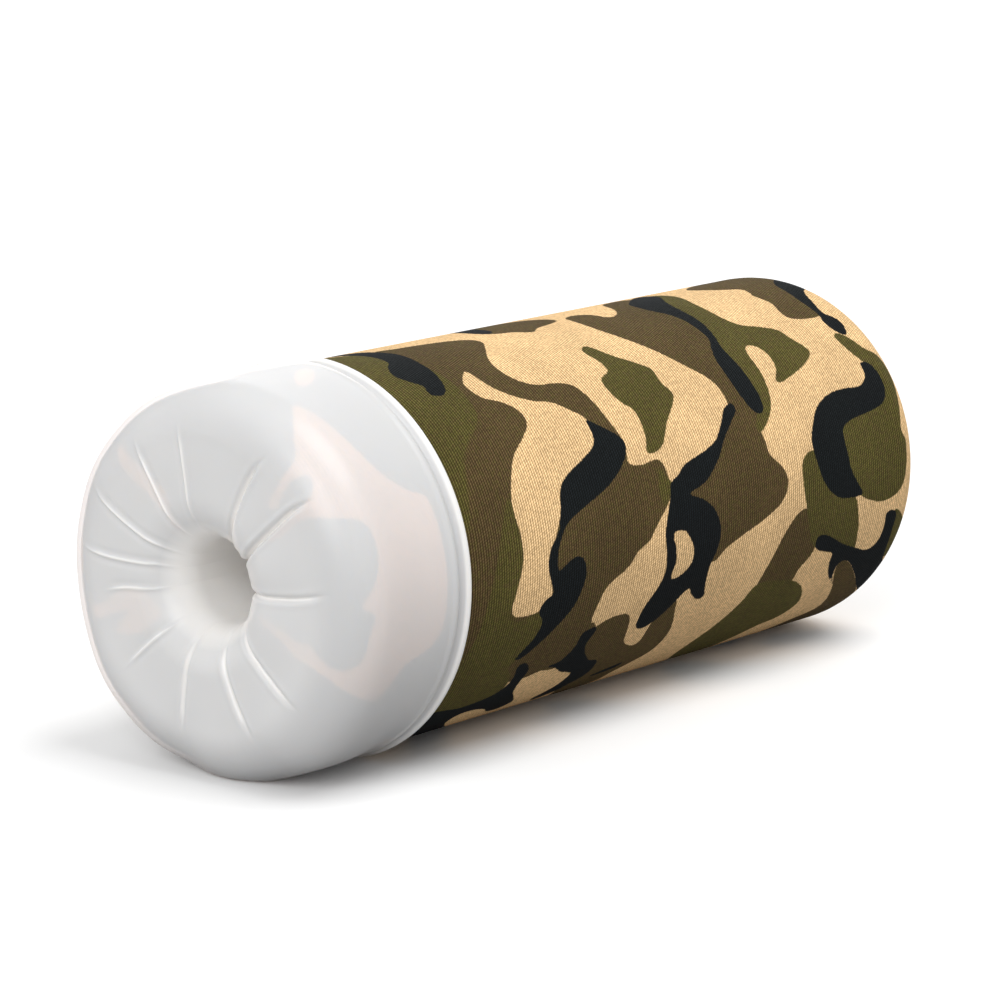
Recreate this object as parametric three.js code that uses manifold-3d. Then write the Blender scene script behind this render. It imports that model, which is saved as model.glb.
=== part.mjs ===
// A hand-held soft tube that lies on its side: a foam body in a printed fabric cover, with a
// removable elastomer sleeve in its bore. The sleeve is turned out over the mouth and back along
// the outside as a cuff that ends in a bead. Millimetres, +Z up. The tube's axis runs along Y,
// with the mouth at -Y, and the origin is on the floor under the middle of the tube.
import * as THREE from "three";
import { mergeVertices } from "three/addons/utils/BufferGeometryUtils.js";
import Module from "manifold-3d";

const wasm = await Module();
wasm.setup();

// ---- Driving dimensions ----
const TOTAL_LENGTH = 202;
const BODY_RADIUS = 41.6; // outside of the fabric
const FRONT_RADIUS = 41; // outside of the fabric where the sleeve's cuff squeezes it
const CUFF_LENGTH = 35; // from the mouth's face back to the bead
const AXIS_HEIGHT = 41.3; // a little under the body's radius, because the foam gives
const GAP = 0.3; // between neighbouring layers

const FABRIC = 1.2; // thickness of the cover, with its backing
const SLEEVE = 0.9; // thickness of the elastomer sleeve
const BEAD_RADIUS = 0.8; // section of the rolled rim
const LINING = 0.8; // thickness of the bore's lining
const FOAM_WALL = 6; // thickness of the firm outer foam tube

const MOUTH_CORNER = 11; // rounding of the sleeve at the outer edge of the mouth's face
const LIP = 10; // rounding of the sleeve where the face turns into the bore
const BACK_CORNER = 12; // rounding of the cover at the closed end
const SLEEVE_BORE = 9.1; // inside radius of the sleeve's tube
const SLEEVE_TIP_Y = 60; // centre of the sleeve's round closed end
const HEM_DEPTH = 20; // how far past the lip the cover is turned into the bore

const BASE_PANEL_RADIUS = 25.4; // round panel sewn into the closed end
const BASE_SEAM_WIDTH = 1.0;
const WALL_SEAM_ANGLE = 225; // degrees from the top, on the side away from the viewer
const SEAM_WIDTH = 1.0;
const SEAM_DEPTH = 0.7;
const THREAD = 0.4;
const ELASTIC_RADIUS = 1; // section of the elastic ring that gathers the mouth

const SEGMENTS = 48; // round each turned piece
const SOFT_DEPTH = 16; // layers deeper than this under the surface aren't pressed flat

// ---- Places that follow from them ----
const FACE_Y = -TOTAL_LENGTH / 2;
const BACK_Y = TOTAL_LENGTH / 2;
const BEAD_Y = FACE_Y + CUFF_LENGTH;
const CUFF_INNER = FRONT_RADIUS + GAP;
const CUFF_OUTER = CUFF_INNER + SLEEVE;
const SLEEVE_TUBE = SLEEVE_BORE + SLEEVE; // outside radius of the sleeve's tube
const CORNER_RHO = CUFF_OUTER - MOUTH_CORNER; // centre of the mouth's outer rounding
const CORNER_Y = FACE_Y + MOUTH_CORNER;
const LIP_RHO = SLEEVE_BORE + LIP; // centre of the lip's rounding
const LIP_Y = FACE_Y + LIP;
const COVER_DEPTH = SLEEVE + GAP; // how far the cover lies under the sleeve's outer surface
const FOAM_DEPTH = COVER_DEPTH + FABRIC + GAP;
const BORE_COVER = SLEEVE_TUBE + GAP; // radius of the bore as the cover and lining form it
const HEM_Y = LIP_Y + HEM_DEPTH;
const LINING_START_Y = HEM_Y + SEAM_WIDTH + 2 * GAP;
const LINING_END_Y = SLEEVE_TIP_Y + SLEEVE_TUBE + 4;
const BORE_FOAM = BORE_COVER + FABRIC + GAP; // radius of the hole through the foam
const WALL_DEPTH = FABRIC + GAP; // how far the firm foam lies under the cover's surface
const WALL_INNER = FRONT_RADIUS - WALL_DEPTH - FOAM_WALL;
const CORE_OUTER = WALL_INNER - GAP;
const BACK_RHO = BODY_RADIUS - BACK_CORNER; // centre of the closed end's rounding
const BACK_CORNER_Y = BACK_Y - BACK_CORNER;
const BACK_FOAM_CORNER = BACK_CORNER - WALL_DEPTH;
const CORE_END_Y = LINING_END_Y + GAP;
const STEP_FRONT_Y = BEAD_Y + 1; // the cuff's squeeze fades out between these two places
const STEP_BACK_Y = BEAD_Y + 9;

// ---- Profiles: points (distance from the axis, place along Y) ----
const at = (rho, y) => new THREE.Vector2(rho, y);

// Points on an arc. Degrees run from the +rho direction towards +Y.
function arc(rho, y, radius, from, to, steps) {
  return Array.from({ length: steps + 1 }, (_, i) => {
    const a = THREE.MathUtils.degToRad(from + ((to - from) * i) / steps);
    return at(rho + radius * Math.cos(a), y + radius * Math.sin(a));
  });
}

// The mouth's outer rounding and its lip, at a depth under the sleeve's outer surface, running
// from the outside round into the bore.
function mouth(depth, steps = 6) {
  return [
    ...arc(CORNER_RHO, CORNER_Y, MOUTH_CORNER - depth, 0, -90, steps),
    ...arc(LIP_RHO, LIP_Y, LIP - depth, -90, -180, steps),
  ];
}

// The straight wall at a depth under the cover's surface, from the squeezed front to the body.
function wall(depth, steps = 3) {
  return Array.from({ length: steps + 1 }, (_, i) => {
    const y = THREE.MathUtils.lerp(STEP_FRONT_Y, STEP_BACK_Y, i / steps);
    const swell = THREE.MathUtils.smoothstep(y, STEP_FRONT_Y, STEP_BACK_Y);
    return at(THREE.MathUtils.lerp(FRONT_RADIUS, BODY_RADIUS, swell) - depth, y);
  });
}

// How far the lowest line is pressed up, at a place along Y and a distance from the axis. The
// cuff lies under the front, so the layers above it give way further there.
function pressed(rho, y) {
  const blend = THREE.MathUtils.smoothstep(y, STEP_FRONT_Y, STEP_BACK_Y);
  const outer = THREE.MathUtils.lerp(CUFF_OUTER, BODY_RADIUS, blend);
  const depthShare = THREE.MathUtils.clamp(1 - (outer - rho) / SOFT_DEPTH, 0, 1);
  return (outer - AXIS_HEIGHT) * depthShare;
}

// Raises a turned piece to the axis height and presses its underside flat against the floor.
function layDown(geometry) {
  const p = geometry.getAttribute("position");
  for (let i = 0; i < p.count; i++) {
    const rho = Math.hypot(p.getX(i), p.getZ(i));
    const floor = AXIS_HEIGHT - rho + pressed(rho, p.getY(i));
    const lowest = rho > CUFF_OUTER ? 0 : Math.max(floor, 0);
    p.setZ(i, Math.max(AXIS_HEIGHT + p.getZ(i), lowest));
  }
  return geometry;
}

// A turned piece. It starts half a segment round, so that a flat strip is lowest and not an edge.
const turned = (points) =>
  layDown(new THREE.LatheGeometry(points, SEGMENTS, Math.PI / SEGMENTS));
const turnedRing = (points) => turned([...points, points[0]]);

// A ring of rectangular section.
const flatRing = (rhoIn, rhoOut, yFrom, yTo) =>
  turnedRing([at(rhoIn, yFrom), at(rhoOut, yFrom), at(rhoOut, yTo), at(rhoIn, yTo)]);

// ---- Booleans ----
function solid(geometry) {
  const g = geometry.clone();
  g.deleteAttribute("normal");
  g.deleteAttribute("uv");
  const merged = mergeVertices(g, 1e-3);
  return new wasm.Manifold(
    new wasm.Mesh({
      numProp: 3,
      vertProperties: merged.attributes.position.array,
      triVerts: new Uint32Array(merged.index.array),
    }),
  );
}

function geometryOf(body) {
  const mesh = body.getMesh();
  return new THREE.BufferGeometry()
    .setAttribute("position", new THREE.BufferAttribute(mesh.vertProperties, 3))
    .setIndex(new THREE.BufferAttribute(mesh.triVerts, 1));
}

// ---- Sub-parts ----
function sleeveGeometry() {
  const beadRho = CUFF_INNER + BEAD_RADIUS - 0.1;
  const neckY = BEAD_Y - BEAD_RADIUS - 0.4;
  return turned([
    ...arc(0, SLEEVE_TIP_Y, SLEEVE_BORE, 90, 0, 5),
    ...mouth(0).reverse(),
    at(CUFF_OUTER, neckY),
    ...arc(beadRho, BEAD_Y, BEAD_RADIUS, -30, 210, 6),
    at(CUFF_INNER, neckY),
    ...mouth(SLEEVE),
    ...arc(0, SLEEVE_TIP_Y, SLEEVE_TUBE, 0, 90, 5),
  ]);
}

// The seam's valley, or the thread in it, along the straight part of the wall.
function seamStrip(width, depth, bottom, length) {
  const strip = new THREE.BoxGeometry(width, length, depth);
  strip.translate(0, 0, BODY_RADIUS - bottom + depth / 2);
  strip.rotateY(THREE.MathUtils.degToRad(WALL_SEAM_ANGLE));
  return strip.translate(0, (STEP_BACK_Y + BACK_CORNER_Y) / 2, AXIS_HEIGHT);
}

const SEAM_LENGTH = BACK_CORNER_Y - STEP_BACK_Y - 2;

function coverWallGeometry() {
  const edge = BASE_PANEL_RADIUS + BASE_SEAM_WIDTH;
  const shell = turnedRing([
    at(BORE_COVER, HEM_Y),
    ...mouth(COVER_DEPTH).reverse(),
    ...wall(0),
    ...arc(BACK_RHO, BACK_CORNER_Y, BACK_CORNER, 0, 90, 5),
    at(edge, BACK_Y),
    at(edge, BACK_Y - FABRIC),
    ...arc(BACK_RHO, BACK_CORNER_Y, BACK_CORNER - FABRIC, 90, 0, 5),
    ...wall(FABRIC).reverse(),
    ...mouth(COVER_DEPTH + FABRIC),
    at(BORE_COVER + FABRIC, HEM_Y),
  ]);
  const valley = seamStrip(SEAM_WIDTH, 2, SEAM_DEPTH, SEAM_LENGTH);
  return geometryOf(solid(shell).subtract(solid(valley)));
}

function coverBaseGeometry() {
  return turned([
    at(0, BACK_Y - FABRIC),
    at(BASE_PANEL_RADIUS, BACK_Y - FABRIC),
    at(BASE_PANEL_RADIUS, BACK_Y),
    at(0, BACK_Y),
  ]);
}

function boreLiningGeometry() {
  const outer = BORE_COVER + LINING;
  return turned([
    at(0, LINING_END_Y - LINING),
    at(BORE_COVER, LINING_END_Y - LINING),
    at(BORE_COVER, LINING_START_Y),
    at(outer, LINING_START_Y),
    at(outer, LINING_END_Y),
    at(0, LINING_END_Y),
  ]);
}

const ELASTIC_RHO = BORE_FOAM + ELASTIC_RADIUS + GAP;
const ELASTIC_Y = LIP_Y + 5;
const POCKET_RHO = ELASTIC_RHO + ELASTIC_RADIUS + GAP; // room for the elastic in the foam
const POCKET_END_Y = ELASTIC_Y + ELASTIC_RADIUS + GAP;

function mouthElasticGeometry() {
  return turnedRing(arc(ELASTIC_RHO, ELASTIC_Y, ELASTIC_RADIUS, -180, 120, 5));
}

function foamCoreGeometry() {
  const cornerStart = THREE.MathUtils.radToDeg(
    Math.acos((CORE_OUTER - CORNER_RHO) / (MOUTH_CORNER - FOAM_DEPTH)),
  );
  const pocketStart = THREE.MathUtils.radToDeg(
    Math.acos((LIP_RHO - POCKET_RHO) / (LIP - FOAM_DEPTH)),
  );
  return turnedRing([
    at(BORE_FOAM, CORE_END_Y - GAP),
    at(BORE_FOAM, POCKET_END_Y),
    at(POCKET_RHO, POCKET_END_Y),
    ...arc(LIP_RHO, LIP_Y, LIP - FOAM_DEPTH, pocketStart - 180, -90, 4),
    ...arc(CORNER_RHO, CORNER_Y, MOUTH_CORNER - FOAM_DEPTH, -90, -cornerStart, 3),
    at(CORE_OUTER, CORE_END_Y - GAP),
  ]);
}

function foamWallGeometry() {
  const cornerRadius = MOUTH_CORNER - FOAM_DEPTH;
  const front = THREE.MathUtils.radToDeg(Math.acos((WALL_INNER - CORNER_RHO) / cornerRadius));
  const back = THREE.MathUtils.radToDeg(Math.acos((WALL_INNER - BACK_RHO) / BACK_FOAM_CORNER));
  return turnedRing([
    ...arc(CORNER_RHO, CORNER_Y, cornerRadius, -front, 0, 5),
    ...wall(WALL_DEPTH),
    ...arc(BACK_RHO, BACK_CORNER_Y, BACK_FOAM_CORNER, 0, back, 5),
    at(WALL_INNER, STEP_BACK_Y),
    at(WALL_INNER, STEP_FRONT_Y),
  ]);
}

function foamBaseGeometry() {
  const corner = THREE.MathUtils.radToDeg(Math.acos((CORE_OUTER - BACK_RHO) / BACK_FOAM_CORNER));
  return turned([
    at(0, CORE_END_Y),
    at(CORE_OUTER, CORE_END_Y),
    ...arc(BACK_RHO, BACK_CORNER_Y, BACK_FOAM_CORNER, corner, 90, 3),
    at(0, BACK_CORNER_Y + BACK_FOAM_CORNER),
  ]);
}

// ---- Materials ----
const camoCloth = new THREE.MeshStandardMaterial({ color: 0x6b5a3c, roughness: 0.9 });
const milkyElastomer = new THREE.MeshStandardMaterial({
  color: 0xe6e5e3,
  roughness: 0.35,
  transparent: true,
  opacity: 0.85,
});
const liningCloth = new THREE.MeshStandardMaterial({ color: 0x2a2a28, roughness: 0.85 });
const firmFoam = new THREE.MeshStandardMaterial({ color: 0x3a3a3a, roughness: 0.95 });
const softFoam = new THREE.MeshStandardMaterial({ color: 0xd9d4c4, roughness: 0.95 });
const thread = new THREE.MeshStandardMaterial({ color: 0x4a4630, roughness: 0.7 });
const elastic = new THREE.MeshStandardMaterial({ color: 0x1d1d1d, roughness: 0.8 });

// ---- Assembly ----
const baseGrooveMiddle = BASE_PANEL_RADIUS + BASE_SEAM_WIDTH / 2;
const liningSeamY = HEM_Y + GAP + SEAM_WIDTH / 2;
const threadBottom = SEAM_DEPTH - 0.1;

const parts = [
  ["liner_sleeve", sleeveGeometry(), milkyElastomer],
  ["cover_wall", coverWallGeometry(), camoCloth],
  ["cover_base", coverBaseGeometry(), camoCloth],
  ["bore_lining", boreLiningGeometry(), liningCloth],
  ["mouth_elastic", mouthElasticGeometry(), elastic],
  ["foam_wall", foamWallGeometry(), firmFoam],
  ["foam_core", foamCoreGeometry(), softFoam],
  ["foam_base", foamBaseGeometry(), softFoam],
  [
    "base_seam_thread",
    flatRing(
      baseGrooveMiddle - THREAD / 2,
      baseGrooveMiddle + THREAD / 2,
      BACK_Y - FABRIC,
      BACK_Y - FABRIC / 2,
    ),
    thread,
  ],
  [
    "mouth_seam_thread",
    flatRing(
      BORE_COVER + GAP,
      BORE_COVER + GAP + THREAD,
      liningSeamY - THREAD / 2,
      liningSeamY + THREAD / 2,
    ),
    thread,
  ],
  [
    "wall_seam_thread",
    seamStrip(THREAD, THREAD, threadBottom, SEAM_LENGTH - 2),
    thread,
  ],
];

const tube = new THREE.Group();
for (const [name, geometry, material] of parts) {
  const mesh = new THREE.Mesh(geometry, material);
  mesh.name = name;
  tube.add(mesh);
}

export default tube;
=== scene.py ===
import math

import bmesh
import bpy
import numpy as np
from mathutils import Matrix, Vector


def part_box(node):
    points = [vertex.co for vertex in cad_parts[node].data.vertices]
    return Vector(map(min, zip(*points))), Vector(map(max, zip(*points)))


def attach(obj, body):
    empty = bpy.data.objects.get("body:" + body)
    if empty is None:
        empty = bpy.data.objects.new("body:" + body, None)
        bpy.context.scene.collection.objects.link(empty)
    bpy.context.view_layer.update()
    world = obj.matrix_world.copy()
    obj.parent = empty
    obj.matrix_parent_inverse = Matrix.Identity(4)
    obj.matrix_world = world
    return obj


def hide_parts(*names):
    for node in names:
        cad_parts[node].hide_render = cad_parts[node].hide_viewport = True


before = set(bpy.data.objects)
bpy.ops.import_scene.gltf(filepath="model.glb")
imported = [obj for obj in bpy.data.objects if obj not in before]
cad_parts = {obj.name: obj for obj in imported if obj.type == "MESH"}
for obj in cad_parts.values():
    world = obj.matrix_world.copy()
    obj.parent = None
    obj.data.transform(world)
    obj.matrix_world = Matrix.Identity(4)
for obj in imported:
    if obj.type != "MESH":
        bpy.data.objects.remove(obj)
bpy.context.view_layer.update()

MM = 0.001
DEG = math.pi / 180
FREE = -999.0  # a lowest height for what the floor doesn't press


# ---- Sizes in millimetres, from the CAD boxes ----
def box_mm(node):
    low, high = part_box(node)
    return np.array(low) / MM, np.array(high) / MM


def radius_of(low, high):
    return (high[0] - low[0]) / 2


wall_low, wall_high = box_mm("cover_wall")
liner_low, liner_high = box_mm("liner_sleeve")
base_low, base_high = box_mm("cover_base")
lining_low, lining_high = box_mm("bore_lining")
seam_low, seam_high = box_mm("wall_seam_thread")
ring_low, ring_high = box_mm("base_seam_thread")
hem_low, hem_high = box_mm("mouth_seam_thread")
elastic_low, elastic_high = box_mm("mouth_elastic")
core_low, core_high = box_mm("foam_core")
block_low, block_high = box_mm("foam_base")

SKIN_INSET = 0.25  # how far the cloth lies inside its plain CAD solid
BODY_RADIUS = radius_of(wall_low, wall_high) - SKIN_INSET
AXIS_Z = (base_low[2] + base_high[2]) / 2
FACE_Y = liner_low[1]
BACK_Y = wall_high[1]
CUFF_LENGTH = 35.0
BEAD_Y = FACE_Y + CUFF_LENGTH
CUFF_RADIUS = 42.2
MOUTH_CORNER = 11.0  # the rounding from the face to the cuff
LIP = 10.0  # the rounding from the face into the bore
BORE = 9.1  # the hole's radius
SLEEVE = 0.9  # the elastomer's thickness
GAP = 0.3  # between one layer and the next
FABRIC = 1.2  # the cloth's thickness
BACK_CORNER = 12.0
HEM_Y = hem_low[1] - 0.6
COVER_DEPTH = SLEEVE + GAP
TIP_Y = liner_high[1] - BORE - SLEEVE
CORNER_RHO = CUFF_RADIUS - MOUTH_CORNER
CORNER_Y = FACE_Y + MOUTH_CORNER
LIP_RHO = BORE + LIP
LIP_Y = FACE_Y + LIP
STEP_Y = BEAD_Y + 9.0  # from here on the cloth has the body's radius
PANEL_RADIUS = radius_of(base_low, base_high)
PANEL_DROP = 0.9  # how far the panel's edge sinks at its seam
SEAM_ANGLE = 225.0
STITCH_RADIUS = 0.22
PRINT_RADIUS = 41.0  # the radius at which the cloth is unrolled for its print
PRINT_ROUND = 2 * math.pi * PRINT_RADIUS
PER_DEGREE = DEG * PRINT_RADIUS  # mm round the cloth

# The camera as fitted to the photograph: where it stands and the way that it looks.
CAMERA_FROM_BEAD = np.array([588.02, -633.36, 194.86])  # mm from the axis at the bead
FOCAL_LENGTH = 4.2  # in widths of the picture
AZIMUTH = 40.312 * DEG
ELEVATION = 11.912 * DEG
TO_CAMERA = np.array(
    [
        math.sin(AZIMUTH) * math.cos(ELEVATION),
        -math.cos(AZIMUTH) * math.cos(ELEVATION),
        math.sin(ELEVATION),
    ]
)

# ---- The twelve creases of the gathered mouth ----
# Each is drawn on the face as seen from the camera: (mm from the axis, degrees round from the
# top towards +X), from its outer end into the hole.
CREASES = [
    [(34, 349), (25, 348.5), (20, 349), (15, 355), (12, 358)],
    [(33.6, 326), (28.4, 326), (22.5, 326), (16.8, 328), (12.8, 335)],
    [(34.3, 299), (28.4, 296), (22.4, 296.5), (16.9, 300), (12.2, 306)],
    [(34.3, 277), (29.7, 275.5), (23.6, 276), (17, 281), (12, 286)],
    [(28.6, 260), (22.4, 261), (18.9, 262), (12, 261)],
    [(29.6, 227), (20.9, 227), (13.7, 222), (11, 216)],
    [(32.5, 190.5), (26.3, 194), (20, 194), (14.1, 190), (11, 182)],
    [(32.4, 154.5), (27.3, 157), (22.2, 159), (16.6, 157), (12, 146)],
    [(33.4, 129), (27.3, 130), (22.2, 131), (16.4, 130), (13.3, 122.5)],
    [(34.2, 84), (29.7, 86), (24.9, 87), (19.4, 88), (14, 87)],
    [(36.5, 53), (30.9, 53.5), (24.3, 53), (19, 54), (15, 57)],
    [(33.7, 31), (27.9, 30), (22, 28.5), (17.7, 30), (13.8, 36)],
]
# How deep each is in mm, where a pleat that stands up is negative; how wide it is in mm; and how
# far from the axis it starts to fade on its way into the hole.
CREASE_DEPTH = [-0.38, -0.44, -0.44, -0.4, -0.32, -0.36, 0.55, 0.62, 0.6, 0.6, 1.0, 0.9]
CREASE_WIDTH = [0.34, 0.36, 0.38, 0.38, 0.36, 0.38, 0.75, 0.7, 0.55, 0.48, 0.55, 0.55]
CREASE_FADE = [16, 15.5, 15, 15, 16, 15, 14, 13, 13, 10, 9, 10]


def lip_depth(rho):
    """How far behind the face the lip's rounding lies at a distance from the axis."""
    x = np.clip(LIP_RHO - rho, 0, LIP)
    return LIP - np.sqrt(LIP**2 - np.minimum(x, LIP * 0.98) ** 2)


def straightened(points):
    """Moves a crease's points along the line of sight, from the face's plane down to the lip."""
    moved = []
    for rho, angle in points:
        x, z = rho * math.sin(angle * DEG), rho * math.cos(angle * DEG)
        behind = lip_depth(rho)
        step = behind / -TO_CAMERA[1]
        x, z = x - TO_CAMERA[0] * step, z - TO_CAMERA[2] * step
        turned = math.atan2(x, z) / DEG
        turned += 360 * round((angle - turned) / 360)
        moved.append((math.hypot(x, z), turned))
    return sorted(moved)


CREASE_LINES = [straightened(points) for points in CREASES]
# In order round the mouth, from the smallest angle up.
order = sorted(range(len(CREASE_LINES)), key=lambda k: CREASE_LINES[k][-1][1])
CREASE_LINES = [CREASE_LINES[k] for k in order]
CREASE_DEPTH = np.array([CREASE_DEPTH[k] for k in order])
CREASE_WIDTH = np.array([CREASE_WIDTH[k] for k in order])
CREASE_FADE = np.array([CREASE_FADE[k] for k in order])
CREASE_END = np.array([line[-1][0] for line in CREASE_LINES])
COUNT = len(CREASE_LINES)
PER_LOBE = 28


def smooth(a, b, x):
    """Eases from 0 at a to 1 at b."""
    t = np.clip((x - a) / (b - a), 0, 1)
    return t * t * (3 - 2 * t)


def hill(x, centre, width):
    """A smooth hill of height 1."""
    return np.exp(-(((x - centre) / width) ** 2))


def turned_from(centre, angle):
    """How far an angle is from the centre, from -180 to 180 degrees."""
    return (angle - centre + 180) % 360 - 180


# Each crease runs along a smooth curve through its points.
CREASE_CURVES = [np.polyfit(*zip(*line), 2) for line in CREASE_LINES]


def crease_angles(rho):
    return np.array(
        [
            np.polyval(curve, np.clip(rho, line[0][0], line[-1][0]))
            for curve, line in zip(CREASE_CURVES, CREASE_LINES)
        ]
    )


# How far the rim of the mouth stands out from a circle: (degrees round from the top, mm).
RIM_SHAPE = [
    (0, 0), (130, 0.1), (142, 0.5), (150, 0.45), (158, -0.4), (165, 0.1), (181, 0.5), (192, -0.9),
    (201, 0.05), (207, 0.6), (216, 0.7), (230, 1.05), (237, 0.8), (247, 0.2), (260, -0.1),
    (274, 0.2), (287, 0.15), (299, 0.33), (310, -0.05), (318, -0.2), (323, 0.1), (331, -0.15),
    (342, -0.3), (360, 0),
]


def rim_shape(angle):
    """The rim's offset at each angle, rounded off a little."""
    a, offset = zip(*RIM_SHAPE)
    return sum(np.interp((angle + turn) % 360, a, offset) for turn in (-5, 0, 5)) / 3


# Shares of a lobe's width, close together at the creases.
half = 0.5 * (np.arange(PER_LOBE // 2 + 1) / (PER_LOBE // 2)) ** 1.5
SHARES = np.concatenate([half, 1 - half[-2:0:-1]])
EVEN_SHARES = np.arange(PER_LOBE) / PER_LOBE
EVERY_COLUMN = np.zeros(COUNT * PER_LOBE)  # added to a number, gives it to every column


def columns(rho, even=0.0):
    """The angle, lobe share, signed mm to the nearest crease and that crease, of each column.
    even spreads the columns evenly over each lobe."""
    a = crease_angles(rho)
    after = np.append(a[1:], a[0] + 360)
    width = after - a
    shares = SHARES * (1 - even) + EVEN_SHARES * even
    angle = (a[:, None] + width[:, None] * shares).ravel()
    share = np.tile(shares, COUNT)
    arc = rho * DEG * width[:, None]
    near = np.where(shares < 0.5, shares, shares - 1) * arc
    lobe = np.repeat(np.arange(COUNT), PER_LOBE)
    nearest = np.where(share < 0.5, lobe, (lobe + 1) % COUNT)
    return angle, share, near.ravel(), nearest


# ---- The mouth's path: rows of (rho, y), the outward normal, and the distance along it ----
def arc_rows(rho, y, radius, a, b, count):
    t = np.linspace(a, b, count) * DEG
    n = np.stack([np.cos(t), np.sin(t)], 1)
    return np.array([rho, y]) + radius * n, n


def line_rows(p, q, count, normal):
    t = np.linspace(0, 1, count)[:, None]
    return np.array(p) * (1 - t) + np.array(q) * t, np.tile(normal, (count, 1)).astype(float)


def joined(*parts):
    """Puts parts of a path together, without the points that repeat."""
    p = np.concatenate([x[0] for x in parts])
    n = np.concatenate([x[1] for x in parts])
    keep = np.append(True, np.linalg.norm(np.diff(p, axis=0), axis=1) > 1e-6)
    return p[keep], n[keep]


def ripple(angle, seed, low=2, high=7):
    """A soft wave round the axis, made of a few whole waves."""
    r = np.random.default_rng(seed)
    total = np.zeros_like(angle)
    for k in range(low, high):
        total += r.normal() * np.sin(k * angle * DEG + r.uniform(0, 2 * math.pi)) / k**0.5
    return total / 2


def mouth_shape(point, angle, share, near, nearest):
    """How far a row of the mouth's surface stands out from its plain turned form, in mm. The last
    four values are what columns() gives."""
    rho, y = point
    inside = y > LIP_Y and rho < LIP_RHO  # in the straight bore
    on_cuff = rho > CORNER_RHO and y > CORNER_Y
    depth_in = max(0.0, y - LIP_Y) if inside else 0.0
    reach = rho if not on_cuff else CUFF_RADIUS + (y - CORNER_Y)
    # low lobes between the creases, fuller to the right of the hole
    side = 0.12 + 0.88 * np.clip(np.cos((angle - 65) * DEG), 0, 1)
    swell = side * smooth(37, 20, reach) * (1 - 0.85 * smooth(0, 10, depth_in))
    out = swell * ((4 * share * (1 - share)) ** 0.8 - 0.65)
    # the creases themselves: a narrow fold with a raised edge on each side
    deep = CREASE_DEPTH[nearest]
    fade = CREASE_FADE[nearest]
    live = smooth(1.5, -6.0, reach - CREASE_END[nearest]) * smooth(-7.0, 2.0, reach - fade)
    live = live * (1 - smooth(0, 9, depth_in))
    wide = CREASE_WIDTH[nearest] * (0.75 + 0.25 * live)
    out -= deep * live * 0.8 * hill(near, 0, wide)
    out += deep * live * 0.3 * hill(np.abs(near), 1.1, 0.6)
    # the rim isn't quite round: the foam in it is soft and holds its own shape
    rim = smooth(24, 38, reach) * (1 - smooth(46, 66, reach))
    top = hill(turned_from(0, angle), 0, 48)
    out += rim * (0.32 * ripple(angle, 4) + rim_shape(angle) - 0.3 * top)
    if on_cuff:
        # a waist in the cuff, and two places where the foam stands out
        out -= 0.2 * hill(y, CORNER_Y + 13, 8) * (1 - top)
        out += 0.6 * hill(y, CORNER_Y + 18, 9) * top
        out += 0.6 * hill(y, CORNER_Y + 9, 6) * hill(turned_from(148, angle), 0, 9)
    puff = hill(reach, CUFF_RADIUS + 0.5, 6)
    return out + 0.45 * puff * (1 - top)


def fold(rho, near, nearest):
    """Where the sleeve is folded at a crease, from 0 to 1. The sleeve is painted whiter and more opaque
    there, partly for the thicker folded elastomer and partly as a painted highlight along the crease.
    """
    live = smooth(1.5, -6.0, rho - CREASE_END[nearest])
    live = live * smooth(-5.0, 3.0, rho - CREASE_FADE[nearest])
    return live * np.exp(-((near / (CREASE_WIDTH[nearest] * (0.5 + 0.5 * live))) ** 4))


def band(y):
    """The groove and the soft ridge that run in front of the bead."""
    return 0.2 * hill(y, BEAD_Y - 3.7, 0.8) - 0.7 * hill(y, BEAD_Y - 1.75, 0.8)


def ring(rho, y, angle):
    """Points round the axis, as x, y, z."""
    x, z = rho * np.sin(angle * DEG), AXIS_Z + rho * np.cos(angle * DEG)
    return np.stack([x, np.broadcast_to(y, x.shape), z], -1)


def placed(rho, y, angle, lowest):
    """A ring whose lowest part rests on the floor, with a soft turn at its edges."""
    points = ring(rho, y, angle)
    above = points[:, 2] - lowest
    soft, sunk = 0.25, 0.03
    points[:, 2] = lowest + 0.5 * (above + np.sqrt(above**2 + soft**2)) - sunk
    return points


def linked(name, data):
    """Puts new data into the scene as an object."""
    obj = bpy.data.objects.new(name, data)
    bpy.context.scene.collection.objects.link(obj)
    return obj


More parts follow.
